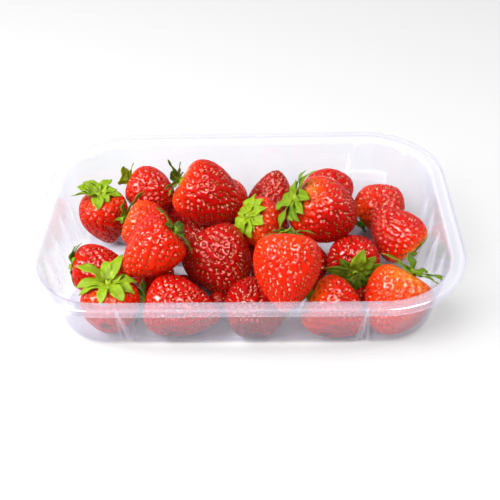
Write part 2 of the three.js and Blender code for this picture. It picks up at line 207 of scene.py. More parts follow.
# how far a wall is pressed in: for each flute a rounded triangle across it, fading upwards
def pressAt(along, level, places, half, depth):
    p = punnet
    share = np.clip(1 - level / p["fluteTop"], 0, 1)
    reach = half * np.maximum(share, p["leastFlute"])
    press = 0
    for place in places:
        away = np.abs(along - place) / reach
        soft = np.sqrt(away ** 2 + p["fluteSoft"]) - math.sqrt(p["fluteSoft"])
        press = press + depth * share * np.clip(1 - soft, 0, 1)
    return press


# fine lines along the middle and both sides of each flute, fading upwards, along which the plastic is painted
# whiter as painted glints
def creaseAt(along, level, places, half):
    p = punnet
    share = np.clip(1 - level / p["fluteTop"], 0, 1)
    reach = half * np.maximum(share, p["leastFlute"])
    away = [np.abs(along - place) for place in places]
    middles = sum(np.exp(-((off / p["creaseWidth"]) ** 2)) for off in away)
    sides = sum(np.exp(-(((off - reach) / p["creaseWidth"]) ** 2)) for off in away)
    return (middles + p["sideLine"] * sides) * smoothStep(0.02, 0.25, share)


# 1 between two values and 0 outside them, with soft ends
def bandAt(value, low, high, soft):
    return smoothStep(low - soft, low + soft, value) * (1 - smoothStep(high - soft, high + soft, value))


def endPress(y, level):
    return pressAt(y, level, punnet["endFlutes"], punnet["endFluteHalf"], punnet["endFluteDepth"])


def sidePress(x, level):
    return pressAt(x, level, punnet["sideFlutes"], punnet["sideFluteHalf"], punnet["sideFluteDepth"])


# the closed outline at a level: straight half end wall, quarter circle, straight half side wall,
# mirrored to all four quarters, then pressed in by the flutes, the round bumps and the rectangle,
# and how much whiter, as painted glints, the plastic is painted at each of its points along creases, bumps and
# edges
def outlineRing(level, grow, z):
    p = punnet
    a, b, r = outlineAt(level)
    a, b, r = a + grow, b + grow, r + grow
    nEnd, nCorner, nSide = p["stations"]
    y = np.linspace(0, b - r, nEnd, endpoint=False)
    turn = np.linspace(0, math.pi / 2, nCorner, endpoint=False)
    x = np.linspace(a - r, 0, nSide, endpoint=False)
    quarterX = np.concatenate([np.full(nEnd, a), a - r + r * np.cos(turn), x])
    quarterY = np.concatenate([y, b - r + r * np.sin(turn), np.full(nSide, b)])
    backX, backY = np.append(quarterX[1:], 0)[::-1], np.append(quarterY[1:], b)[::-1]
    ringX = np.concatenate([quarterX, -backX, -quarterX, backX])
    ringY = np.concatenate([quarterY, backY, -quarterY, -backY])
    isEnd = smoothStep(0.5, 0.8, np.abs(ringX) / a)
    isSide = smoothStep(0.75, 0.9, np.abs(ringY) / b)
    crease = creaseAt(ringY, level, p["endFlutes"], p["endFluteHalf"]) * isEnd
    crease = crease + creaseAt(ringX, level, p["sideFlutes"], p["sideFluteHalf"]) * isSide
    pressX = endPress(ringY, level) * isEnd
    pressY = sidePress(ringX, level) * isSide
    for bumpX, bumpY, bumpLevel, outX, outY in p["bumps"]:
        away = np.hypot(np.abs(ringX) - bumpX, np.abs(ringY) - bumpY)
        bump = np.exp(-((away ** 2 + (level - bumpLevel) ** 2) / p["bumpRadius"] ** 2)) * (level < p["height"])
        pressX = pressX + bump * p["bumpDepth"] * outX
        pressY = pressY + bump * p["bumpDepth"] * outY
        # painted glint: each bump is painted whiter as well
        crease = crease + bump
    low, high, bottom, top, depth = p["panel"]
    soft, edge, (onEdge, onFace) = p["panelSoft"], p["panelEdge"], p["panelPaintedGlint"]
    panel = bandAt(ringX, low, high, soft) * bandAt(level, bottom, top, soft) * (ringY > 0)
    inside = bandAt(ringX, low + edge, high - edge, soft) * bandAt(level, bottom + edge, top - edge, soft)
    pressY = pressY + depth * panel
    # painted glint: the rectangle's edge is painted whiter, and its face a little whiter
    crease = crease + onEdge * (panel - inside * (ringY > 0)) + onFace * panel
    ringX = ringX - np.sign(ringX) * pressX
    ringY = ringY - np.sign(ringY) * pressY
    return np.stack([ringX, ringY, np.full(len(ringX), z)], -1), crease


# arc of (z, grow) pairs round a centre, between two angles in degrees
def arcRows(z, grow, radius, start, stop, steps):
    turn = np.radians(np.linspace(start, stop, steps))
    return [(z + radius * math.sin(t), grow + radius * math.cos(t)) for t in turn]


# the section as rows of (level whose outline is taken, z, how far out of it): up the outside, over
# the flange and its turned-down lip, down the inside and across the base
def makePunnet(material):
    p = punnet
    wall, height, flange, fillet = p["wall"], p["height"], p["flange"], p["baseFillet"]
    ledge, ledgeWidth, lipFoot = height - p["ledgeDrop"], p["ledgeWidth"], height - p["lipDrop"]
    under, lip, hollow, mouth = p["underRadius"], p["lipRadius"], p["lipHollow"], p["mouthRadius"]
    rows = [(0, 0, -grow) for grow in p["baseRings"]]
    rows += [(z, z, grow) for z, grow in arcRows(fillet, -fillet, fillet, -90, 0, 7)]
    rows += [(z, z, 0) for z in np.linspace(fillet, ledge - wall - under, p["wallRows"])[1:]]
    rim = arcRows(ledge - wall - under, under, under, 180, 90, 4)[1:]
    rim += [(ledge - wall, ledgeWidth - 0.1), (height - wall, ledgeWidth + 0.5)]
    rim += arcRows(height - wall - hollow, flange - wall - hollow, hollow, 90, 0, 4)
    rim += [(lipFoot, flange - wall + 0.25), (lipFoot - 0.1, flange - 0.05), (lipFoot + 0.2, flange)]
    rim += arcRows(height - lip, flange - lip, lip, 0, 90, 6)
    rim += [(height, ledgeWidth + 0.9), (height - 0.08, ledgeWidth + 0.55)]
    rim += [(ledge + 0.05, ledgeWidth + 0.05), (ledge, ledgeWidth - 0.3)]
    rim += arcRows(ledge - mouth, mouth - wall, mouth, 90, 180, 5)
    rows += [(height, z, grow) for z, grow in rim]
    rows += [(z, z, -wall) for z in np.linspace(ledge - mouth, fillet, p["wallRows"])[1:]]
    rows += [(z, z, grow) for z, grow in arcRows(fillet, -fillet, fillet - wall, 0, -90, 7)][1:]
    rows += [(wall, wall, -grow) for grow in p["baseRings"][::-1]]
    made = [outlineRing(level, grow, z) for level, z, grow in rows]
    rings = np.array([place for place, crease in made])
    count = rings.shape[1]

    # how sharply the section turns at each row, with the creases of flutes, bumps and rectangle on the walls:
    # where the plastic is painted whiter, as painted glints
    section = np.array([(outlineAt(level)[1] + grow, z) for level, z, grow in rows])
    step = np.diff(section, axis=0)
    length = np.maximum(np.hypot(step[:, 0], step[:, 1]), 1e-6)
    heading = np.unwrap(np.arctan2(step[:, 1], step[:, 0]))
    turning = np.abs(np.diff(heading)) / ((length[1:] + length[:-1]) / 2 + 0.15)
    sharp = np.concatenate([[0], np.clip(turning / p["sharp"], 0, 1), [0]])
    onWall = np.array([level == z for level, z, grow in rows])
    edge = p["sharpShare"] * sharp[:, None] + np.array([crease for place, crease in made]) * onWall[:, None]
    points = np.concatenate([[[0, 0, 0]], rings.reshape(-1, 3), [[0, 0, wall]]])
    last = len(points) - 1
    faces = [
        fanFaces(0, 1, count),
        ringFaces(len(rows), count, 1)[:, ::-1],
        fanFaces(last, last - count, count, turned=True),
    ]
    attributes = {"edge": np.concatenate([[0], np.clip(edge, 0, 1).ravel(), [0]])}
    return addPiece("punnet.clear", points, faces, material, attributes)


plastic = {
    "clear": (0.955, 0.955, 0.97), "edgeOn": (0.9, 0.9, 0.93),  # what light keeps on its way through
    "haze": (0.88, 0.88, 1.0, 1), "hazeShare": 0.06, "paintedEdgeGlint": 0.32,
    "mirror": (0.93, 0.94, 1, 1), "mirrorRoughness": 0.1, "mirrorShare": 0.04, "grazingShare": 0.66,
    "rippleScale": 60, "rippleDepth": 0.03,
}


# clear plastic: what is behind shows through it, each face mirrors more the flatter it is seen,
# it takes a little more light where it is seen edge on, and it is painted whiter along its edges, creases and
# bumps: painted glints that stand in for the light these catch
def clearPlastic():
    p = plastic
    material, tree = newMaterial("clearPlastic")
    facing = addNode(tree, "ShaderNodeLayerWeight", {"Blend": 0.5}).outputs["Facing"]
    grazing = mathOf(tree, "POWER", facing, 5.0)
    mirrorShare = mathOf(tree, "MULTIPLY_ADD", grazing, p["grazingShare"], p["mirrorShare"])
    tint = mixColour(tree, mathOf(tree, "POWER", facing, 2.0), p["clear"], p["edgeOn"])
    through = addNode(tree, "ShaderNodeBsdfTransparent", {"Color": tint}).outputs[0]
    behind = addNode(tree, "ShaderNodeBsdfTranslucent", {"Color": p["haze"]}).outputs[0]
    before = addNode(tree, "ShaderNodeBsdfDiffuse", {"Color": p["haze"]}).outputs[0]
    haze = addNode(tree, "ShaderNodeMixShader", {0: 0.5, 1: behind, 2: before}).outputs[0]
    # painted glints: the haze rises along edges, creases and bumps, painting them whiter
    hazeShare = mathOf(tree, "MULTIPLY_ADD", attributeOf(tree, "edge"), p["paintedEdgeGlint"], p["hazeShare"])
    body = addNode(tree, "ShaderNodeMixShader", {0: hazeShare, 1: through, 2: haze}).outputs[0]
    ripple = {"Height": noiseOf(tree, p["rippleScale"], 2), "Strength": p["rippleDepth"], "Distance": 0.001}
    bump = addNode(tree, "ShaderNodeBump", ripple).outputs[0]
    mirrorValues = {"Color": p["mirror"], "Roughness": p["mirrorRoughness"], "Normal": bump}
    mirror = addNode(tree, "ShaderNodeBsdfAnisotropic", mirrorValues).outputs[0]
    whole = addNode(tree, "ShaderNodeMixShader", {0: mirrorShare, 1: body, 2: mirror}).outputs[0]
    addNode(tree, "ShaderNodeOutputMaterial", {"Surface": whole})
    return material


# at: middle in mm. stem: the way its calyx points. tip: how slim it ends. taper: how much narrower
# the tip is than the shoulders. cleft: how deep its tip is notched. ripe: 0 pale, 0.5 orange, 1 deep
# red. shoulder: how pale it is round the calyx. paintedLitSide: painted light, the way the side that is
# painted paler as if lit faces, and how much paler it is. grid: how fine its mesh is. touch: x, z and
# half sizes in mm of the bruise where it leans on the front wall. What a berry doesn't say is as in usualBerry.
usualBerry = {"tip": 0.95, "taper": 0.3, "cleft": 0, "shoulder": 0.1, "paintedLitSide": (0, 0, 1, 0), "grid": "far"}
berries = {
    "frontLeft": {"at": (-58.5, -35.5, 14.5), "stem": (0.07, 0.1, 0.99), "length": 27, "width": 26,
        "taper": 0.25, "ripe": 0.72, "shoulder": 0.25, "paintedLitSide": (-0.6, -0.3, 0.6, 0.1),
        "touch": (-58.6, 14.2, 2.7, 1.9)},
    "frontSecond": {"at": (-27, -37.2, 13.6), "stem": (-0.97, 0.2, 0.1), "length": 35, "width": 27.5,
        "tip": 1.1, "taper": 0.38, "ripe": 0.84, "shoulder": 0.15, "paintedLitSide": (-0.3, -0.5, 0.6, 0.05),
        "grid": "near", "touch": (-31.3, 9.2, 2.0, 1.4)},
    "frontThird": {"at": (4, -38.6, 13.6), "stem": (0.3, 0.85, -0.3), "length": 29, "width": 27,
        "ripe": 0.88, "touch": (5.2, 6.6, 4.6, 1.9)},
    "frontFourth": {"at": (39.2, -38.6, 13.6), "stem": (-0.8, 0.3, 0.4), "length": 29, "width": 26.5,
        "ripe": 0.72, "shoulder": 0.35, "paintedLitSide": (-0.8, -0.2, 0.3, 0.2), "touch": (34.6, 7.6, 2.8, 1.4)},
    "frontRight": {"at": (65.5, -34.6, 15), "stem": (0.5, 0.5, 0.65), "length": 31, "width": 29.5,
        "taper": 0.25, "ripe": 0.6, "shoulder": 0.25, "paintedLitSide": (0.2, -0.2, 0.9, 0.2), "grid": "near"},
    "leftMiddle": {"at": (-67.6, -9.8, 13.3), "stem": (-1, 0, 0.1), "length": 27, "width": 22, "ripe": 0.76,
        "shoulder": 0.2},
    "leftTop": {"at": (-41, -20.5, 32), "stem": (0.78, 0.4, 0.5), "length": 32, "width": 26, "tip": 1.25,
        "taper": 0.5, "ripe": 0.68, "shoulder": 0.05, "paintedLitSide": (-0.9, -0.3, -0.1, 0.18), "grid": "near"},
    "middle": {"at": (-11.5, -9, 16), "stem": (-0.45, 0.75, 0.45), "length": 34, "width": 32, "ripe": 0.88,
        "grid": "near"},
    "topFront": {"at": (18.4, -38.6, 36.3), "stem": (0.05, 0.72, 0.7), "length": 34.5, "width": 28,
        "tip": 1.2, "taper": 0.34, "ripe": 0.68, "shoulder": 0.2, "paintedLitSide": (-0.5, -0.2, 0.5, 0.1),
        "grid": "near"},
    "underFront": {"at": (28, -8.5, 11.5), "stem": (0, 1, 0), "length": 24, "width": 20, "ripe": 0.9},
    "rightMiddle": {"at": (49, -6, 15.5), "stem": (0.03, -0.97, 0.16), "length": 28, "width": 24,
        "ripe": 0.85, "grid": "near"},
    "rightTilted": {"at": (69.5, 7.5, 19.8), "stem": (0.65, -0.5, -0.57), "length": 29, "width": 25,
        "tip": 1.1, "taper": 0.4, "ripe": 0.78, "shoulder": 0.7, "paintedLitSide": (0.6, -0.3, -0.4, 0.15)},
    "backLeft": {"at": (-70, 25, 16), "stem": (-0.12, 0.12, 0.98), "length": 29, "width": 24, "tip": 1.1,
        "taper": 0.4, "ripe": 0.74, "shoulder": 0.3, "paintedLitSide": (0, 0, 1, 0.05)},
    "leftInner": {"at": (-46, 12.5, 18.8), "stem": (-0.9, 0.2, 0.35), "length": 28, "width": 24,
        "ripe": 0.66, "shoulder": 0.3, "paintedLitSide": (-0.4, -0.2, 0.8, 0.12)},
    "backSecond": {"at": (-48, 37, 23.5), "stem": (-0.85, 0.3, 0.3), "length": 26, "width": 22,
        "taper": 0.2, "ripe": 0.76, "shoulder": 0.2, "paintedLitSide": (-0.8, 0, 0.3, 0.1)},
    "topLeft": {"at": (-17.5, 21, 31.5), "stem": (-0.85, 0.15, 0.5), "length": 35.2, "width": 30.5,
        "tip": 1.0, "taper": 0.28, "ripe": 0.84, "shoulder": 0.4, "paintedLitSide": (-0.9, 0, 0.2, 0.12),
        "grid": "near"},
    "backThird": {"at": (-10, 40, 18.3), "stem": (0.3, 0.3, -0.9), "length": 24, "width": 18, "ripe": 0.7,
        "paintedLitSide": (0, 0, 1, 0.1)},
    "backFourth": {"at": (12, 36.5, 18.5), "stem": (-0.22, -0.2, -1), "length": 30, "width": 23,
        "taper": 0.35, "ripe": 0.86},
    "centre": {"at": (9.2, 12.5, 20.5), "stem": (-0.64, -0.36, 0.68), "length": 29, "width": 24,
        "ripe": 0.7, "shoulder": 0.25, "paintedLitSide": (-0.2, -0.5, 0.3, 0.12)},
    "topRight": {"at": (36, 8, 32), "stem": (-0.9, 0.02, 0.52), "length": 33, "width": 30, "taper": 0.15,
        "ripe": 0.86, "shoulder": 0.3, "paintedLitSide": (-0.45, -0.1, 0.9, 0.38), "grid": "near"},
    "backFifth": {"at": (39.5, 35, 20), "stem": (0.2, 0.9, 0.3), "length": 27, "width": 25, "ripe": 0.8},
    "backRight": {"at": (65.5, 33, 14.5), "stem": (-0.7, -0.4, -0.5), "length": 26, "width": 25, "taper": 0,
        "cleft": 0.28, "ripe": 0.74, "shoulder": 0.35, "paintedLitSide": (-0.9, -0.2, 0.1, 0.15)},
}
# small berries low in the heap, of which hardly anything shows: at, stem, length, width and ripe
lowBerries = {
    "lowLeft": ((-43, -9, 10.5), (0.3, -0.9, 0.1), 22, 19, 0.85),
    "lowBack": ((-33, 36.5, 10.5), (0.9, 0.1, 0.2), 22, 19, 0.8),
    "lowMiddle": ((-25, 17, 9.5), (0.2, 0.9, 0.1), 18, 16, 0.85),
    "lowCentre": ((9.7, -9, 8.2), (0.1, -0.9, 0.2), 22, 15, 0.9),
    "lowSecond": ((-29.2, -17.5, 6.3), (0.2, 0.9, 0.1), 16, 11, 0.9),
    "lowFront": ((-12.5, -28, 6.2), (0.2, 0.9, 0.1), 13, 10.4, 0.9),
    "lowUnder": ((3, 6, 5.6), (0.2, 0.9, 0.1), 13, 10.4, 0.9),
    "lowRight": ((53, -23.2, 5.2), (0.2, 0.9, 0.1), 13, 10.2, 0.9),
    "lowInner": ((-5, 24.5, 8.4), (-0.9, 0.2, 0.1), 18, 13.5, 0.9),
}
for name, values in lowBerries.items():
    berries[name] = {**dict(zip(("at", "stem", "length", "width", "ripe"), values)), "grid": "hidden"}
berries = {name: {**usualBerry, **own} for name, own in berries.items()}

skin = {
    # rows from stem to tip and columns round it
    "grids": {"near": (112, 224), "far": (80, 160), "hidden": (40, 80)},
    "shoulderPower": 0.85, "tipFrom": (0.4, 2.6), "stemDimple": 0.07, "dimpleAngle": 0.5,
    "cleftWidth": 0.45, "cleftTurn": 0.8, "lump": 0.03, "lumpTimes": (2, 3, 5), "lumpTwist": 1.3,
    "seedSpacing": 3.45, "seedPacking": 0.87, "seedCrowding": 1.0, "firstSeed": 0.34,
    "seedShift": 0.3, "seedTurn": 0.07,
    "pitDepth": 0.72, "pitRadius": 1.78, "rimTurn": 1.5, "pitSlope": 0.85, "clearance": 0.25,
    "shoulderReach": 0.85, "paintedLitPower": 1.5,
}
seed = {
    "length": 1.15, "width": 0.7, "height": 0.5, "taper": 0.3, "sunk": 0.5, "sizes": (0.85, 1.12),
    "bulge": 0.2, "around": 5, "rings": 2,
}


# the berry's own axes as rows: across, up, and towards the calyx
def berryAxes(berry):
    stem = unit(berry["stem"])
    helper = np.array([0, 0, 1.0]) if abs(stem[2]) < 0.95 else np.array([1.0, 0, 0])
    across = unit(np.cross(helper, stem))
    return np.array([across, np.cross(stem, across), stem])


# half the width times sin(angle)^power (1 + taper cos(angle)), scaled to its peak, where the power
# goes from the shoulders' to the tip's, and half the length times cos(angle), sunk round the stem;
# angle 0 is the stem and pi the tip
def profileOf(berry, angle):
    s = skin

    def girth(value):
        power = s["shoulderPower"] + (berry["tip"] - s["shoulderPower"]) * smoothStep(*s["tipFrom"], value)
        return np.sin(value).clip(0) ** power * (1 + berry["taper"] * np.cos(value))

    radius = berry["width"] / 2 * girth(angle) / girth(np.linspace(0, math.pi, 400)).max()
    rise = berry["length"] / 2 * np.cos(angle)
    rise = rise - berry["length"] * s["stemDimple"] * np.exp(-((angle / s["dimpleAngle"]) ** 2))
    return radius, rise


# places in the berry's own axes for angles from the stem and turns round it: the profile, swollen by a
# few low waves that wind round it, with a notch across the tip where it has one
def berrySurface(berry, angle, turn, lumps):
    radius, rise = profileOf(berry, angle)
    waves = [size * np.cos(times * turn + phase + skin["lumpTwist"] * angle) for times, size, phase in lumps]
    swell = 1 + np.sin(angle) * sum(waves)
    notch = 1 - berry["cleft"] * np.exp(-((np.cos(turn - skin["cleftTurn"]) / skin["cleftWidth"]) ** 2))
    rise = np.where(rise < 0, rise * notch, rise)
    out = radius * swell
    return np.stack([out * np.cos(turn), out * np.sin(turn), rise * np.ones_like(turn)], -1)


# angle and turn of each seed: a golden spiral with equal area for each seed, a little closer
# together towards the tip
def seedPlaces(berry, rng):
    s = skin
    angle = np.linspace(0, math.pi, 600)
    radius, rise = profileOf(berry, angle)
    step = np.hypot(np.gradient(radius), np.gradient(rise))
    weight = radius * step * (1 + s["seedCrowding"] * (angle / math.pi) ** 2)
    weight[angle < s["firstSeed"]] = 0
    area = np.cumsum(weight)
    count = int(2 * math.pi * area[-1] / (s["seedPacking"] * s["seedSpacing"] ** 2))
    places = (np.arange(count) + 0.5 + rng.uniform(-s["seedShift"], s["seedShift"], count)) / count
    turn = np.arange(count) * math.pi * (3 - math.sqrt(5)) + rng.normal(0, s["seedTurn"], count)
    return np.interp(places, area / area[-1], angle), turn % (2 * math.pi)


# keeps points inside the punnet: above its floor, and within the inner outline at their height
def keepInside(points):
    gap = punnet["wall"] + skin["clearance"]
    x, y, z = points[:, 0].copy(), points[:, 1].copy(), points[:, 2].copy()
    a, b, r = outlineAt(z)
    low = punnet["baseFillet"]
    foot = np.where(z < low, low - np.sqrt(np.clip(low ** 2 - (low - z) ** 2, 0, None)), 0)
    a = a - gap - foot - endPress(y, z) * (np.abs(x) > 60)
    b = b - gap - foot - sidePress(x, z)
    r = r - gap - foot
    pastX, pastY = np.abs(x) - (a - r), np.abs(y) - (b - r)
    corner = (pastX > 0) & (pastY > 0)
    away = np.where(corner, np.hypot(pastX, pastY), 1)
    pull = np.where(corner & (away > r), r / away, 1)
    newX = np.where(corner, (a - r) + pastX * pull, np.minimum(np.abs(x), a))
    newY = np.where(corner, (b - r) + pastY * pull, np.minimum(np.abs(y), b))
    return np.stack([np.sign(x) * newX, np.sign(y) * newY, np.maximum(z, gap)], -1)


# many small teardrops: a ring-and-pole shape copied to every place, along with its own axes
def seedShapes(centres, along, normals, rng):
    around, rings = seed["around"], seed["rings"]
    tilt = np.linspace(0, math.pi, rings + 2)[1:-1, None]
    turn = np.linspace(0, 2 * math.pi, around, endpoint=False)[None, :]
    narrow = 1 - seed["taper"] * np.cos(tilt)
    shape = np.stack([
        seed["length"] / 2 * np.cos(tilt) * np.ones_like(turn),
        seed["width"] / 2 * np.sin(tilt) * np.cos(turn) * narrow,
        seed["height"] / 2 * np.sin(tilt) * np.sin(turn) * narrow,
    ], -1).reshape(-1, 3)
    shape = np.concatenate([[[seed["length"] / 2, 0, 0]], shape, [[-seed["length"] / 2, 0, 0]]])
    side = np.cross(normals, along)
    size = rng.uniform(*seed["sizes"], len(centres))[:, None, None]
    turned = np.stack([along, side, normals], 1)
    points = centres[:, None] + size * (shape @ turned)
    offsets = (np.arange(len(centres)) * len(shape))[:, None, None]
    faces = [(part[None] + offsets).reshape(-1, part.shape[1]) for part in closedFaces(rings, around)]
    return points.reshape(-1, 3), faces


# a berry: its surface with a pit round each seed, whose shading turns up to a rim, and its seeds
def makeBerry(name, berry, number, material):
    s = skin
    rng = np.random.default_rng(100 + number)
    rows, columns = s["grids"][berry["grid"]]
    lumps = [(times, rng.uniform(0.4, 1) * s["lump"], rng.uniform(0, 2 * math.pi)) for times in s["lumpTimes"]]
    angle = np.linspace(0, math.pi, rows + 2)[1:-1, None]
    turn = np.linspace(0, 2 * math.pi, columns, endpoint=False)[None, :]
    grid = berrySurface(berry, angle * np.ones_like(turn), turn * np.ones_like(angle), lumps)
    alongRows = np.gradient(grid, axis=0)
    aroundRing = (np.roll(grid, -1, 1) - np.roll(grid, 1, 1)) / 2
    normals = np.cross(alongRows, aroundRing)
    normals /= np.linalg.norm(normals, axis=-1, keepdims=True)

    seedAngle, seedTurn = seedPlaces(berry, rng)
    seeds = berrySurface(berry, seedAngle, seedTurn, lumps)
    flat, flatNormals = grid.reshape(-1, 3), normals.reshape(-1, 3)
    apart = (flat ** 2).sum(1)[:, None] + (seeds ** 2).sum(1)[None] - 2 * flat @ seeds.T  # squared
    own = apart.argmin(1)
    toSeed = np.sqrt(apart.min(1).clip(1e-6))
    slant = np.clip(1 - toSeed / s["pitRadius"], 0, 1)
    pit = slant ** 2
    flat = flat - (s["pitDepth"] * pit)[:, None] * flatNormals
    away = grid.reshape(-1, 3) - seeds[own]
    away -= (away * flatNormals).sum(1, keepdims=True) * flatNormals
    slope = np.minimum(s["rimTurn"] * slant, s["pitSlope"]) / toSeed
    shading = flatNormals - slope[:, None] * away
    shading /= np.linalg.norm(shading, axis=1, keepdims=True)

    rowOf = np.clip(seedAngle / math.pi * (rows + 1) - 1, 0, rows - 1).round().astype(int)
    columnOf = (seedTurn / (2 * math.pi) * columns).round().astype(int) % columns
    seedNormals = normals[rowOf, columnOf]
    seedAlong = alongRows[rowOf, columnOf]
    seedAlong -= (seedAlong * seedNormals).sum(1, keepdims=True) * seedNormals
    seedAlong /= np.linalg.norm(seedAlong, axis=1, keepdims=True)
    sunk = seeds - seed["sunk"] * seedNormals
    seedPoints, seedFaces = seedShapes(sunk, -seedAlong, seedNormals, rng)
    perSeed = len(seedPoints) // len(seeds)
    seedOut = seedPoints - np.repeat(sunk - seed["bulge"] * seedNormals, perSeed, 0)
    seedOut /= np.linalg.norm(seedOut, axis=1, keepdims=True)

    stemEnd = berrySurface(berry, np.array([0.0]), np.array([0.0]), lumps)
    tip = berrySurface(berry, np.array([math.pi]), np.array([0.0]), lumps)
    body = np.concatenate([stemEnd, flat, tip])
    count = len(body)
    faces = closedFaces(rows, columns) + [part + count for part in seedFaces]
    axes = berryAxes(berry)
    world = np.concatenate([body, seedPoints]) @ axes + np.array(berry["at"])
    inside = keepInside(world)
    bruise = np.zeros(len(inside))
    if "touch" in berry:
        x, z, halfX, halfZ = berry["touch"]
        off = ((inside[:, 0] - x) / halfX) ** 2 + ((inside[:, 2] - z) / halfZ) ** 2
        bruise = np.exp(-(off ** 2)) * (inside[:, 1] < berry["at"][1])

    # ripeness falls towards the calyx, and falls on the lit side given for each berry, which is painted paler:
    # painted light
    bodyAngle = np.concatenate([[0], (angle * np.ones_like(turn)).ravel(), [math.pi]])
    bodyNormals = np.concatenate([[[0, 0, 1]], flatNormals, [[0, 0, -1]]]) @ axes
    shadingNormals = np.concatenate([[[0, 0, 1]], shading, [[0, 0, -1]], seedOut]) @ axes
    # painted light: each berry's lit side, mostly towards the lamps, is painted paler
    light = np.clip(bodyNormals @ unit(berry["paintedLitSide"][:3]), 0, 1) ** s["paintedLitPower"] * berry["paintedLitSide"][3]
    ripe = berry["ripe"] - light - berry["shoulder"] * np.exp(-((bodyAngle / s["shoulderReach"]) ** 2))
    tone = np.repeat(rng.uniform(0, 1, len(seeds)), perSeed)
    attributes = {
        "ripeness": np.concatenate([ripe, tone]),
        "pit": np.concatenate([[0], pit, [0], np.ones(len(seedPoints))]),
        "seed": np.concatenate([np.zeros(count), np.ones(len(seedPoints))]),
        "bruise": bruise,
    }
    return addPiece("berry." + name, inside, faces, material, attributes, shadingNormals)


berryFinish = {
    "flesh": (
        (0.0, (0.56, 0.33, 0.07)), (0.22, (0.60, 0.17, 0.010)), (0.42, (0.59, 0.052, 0.003)),
        (0.62, (0.54, 0.012, 0.001)), (0.82, (0.38, 0.003, 0.002)), (1.0, (0.18, 0.001, 0.001)),
    ),
    "seeds": ((0.0, (0.34, 0.22, 0.02)), (0.5, (0.32, 0.14, 0.012)), (1.0, (0.27, 0.075, 0.006))),
    "bruise": (0.04, 0.0005, 0.002), "mottle": 0.22, "pitPaintedShade": 0.3,
    "roughness": 0.07, "seedRougher": 0.2, "ior": 1.25, "gloss": (1.0, 0.46, 0.41, 1),
    "noise": {"mottle": 140, "bruise": 520, "fine": 900},
}


# skin from pale through orange to deep red, with painted shade that darkens it in its pits, darker where it is
# bruised, and with yellow-green seeds
def berrySkin():
    f = berryFinish
    material, tree = newMaterial("strawberrySkin")
    ripeness, pit = attributeOf(tree, "ripeness"), attributeOf(tree, "pit")
    isSeed, bruise = attributeOf(tree, "seed"), attributeOf(tree, "bruise")
    mottle = mathOf(tree, "MULTIPLY_ADD", noiseOf(tree, f["noise"]["mottle"], 4), f["mottle"], -f["mottle"] / 2)
    # painted shade: the pits are painted a deeper red, added to the random mottle
    mottleAndPitShade = mathOf(tree, "MULTIPLY_ADD", pit, f["pitPaintedShade"], mottle)
    flesh = rampOf(tree, mathOf(tree, "ADD", ripeness, mottleAndPitShade, clamp=True), f["flesh"])
    patches = mathOf(tree, "MULTIPLY_ADD", noiseOf(tree, f["noise"]["bruise"], 3), 3.0, -0.7, clamp=True)
    flesh = mixColour(tree, mathOf(tree, "MULTIPLY", bruise, patches), flesh, f["bruise"])
    colour = mixColour(tree, isSeed, flesh, rampOf(tree, ripeness, f["seeds"]))
    fine = {"Height": noiseOf(tree, f["noise"]["fine"], 2), "Strength": 0.08, "Distance": 0.0004}
    addSurface(tree, {
        "Base Color": colour, "IOR": f["ior"], "Specular Tint": f["gloss"],
        "Roughness": mathOf(tree, "MULTIPLY_ADD", isSeed, f["seedRougher"], f["roughness"]),
        "Normal": addNode(tree, "ShaderNodeBump", fine).outputs[0],
        "Subsurface Weight": 0.08, "Subsurface Radius": (1.0, 0.2, 0.1), "Subsurface Scale": 0.0015,
    })
    return material
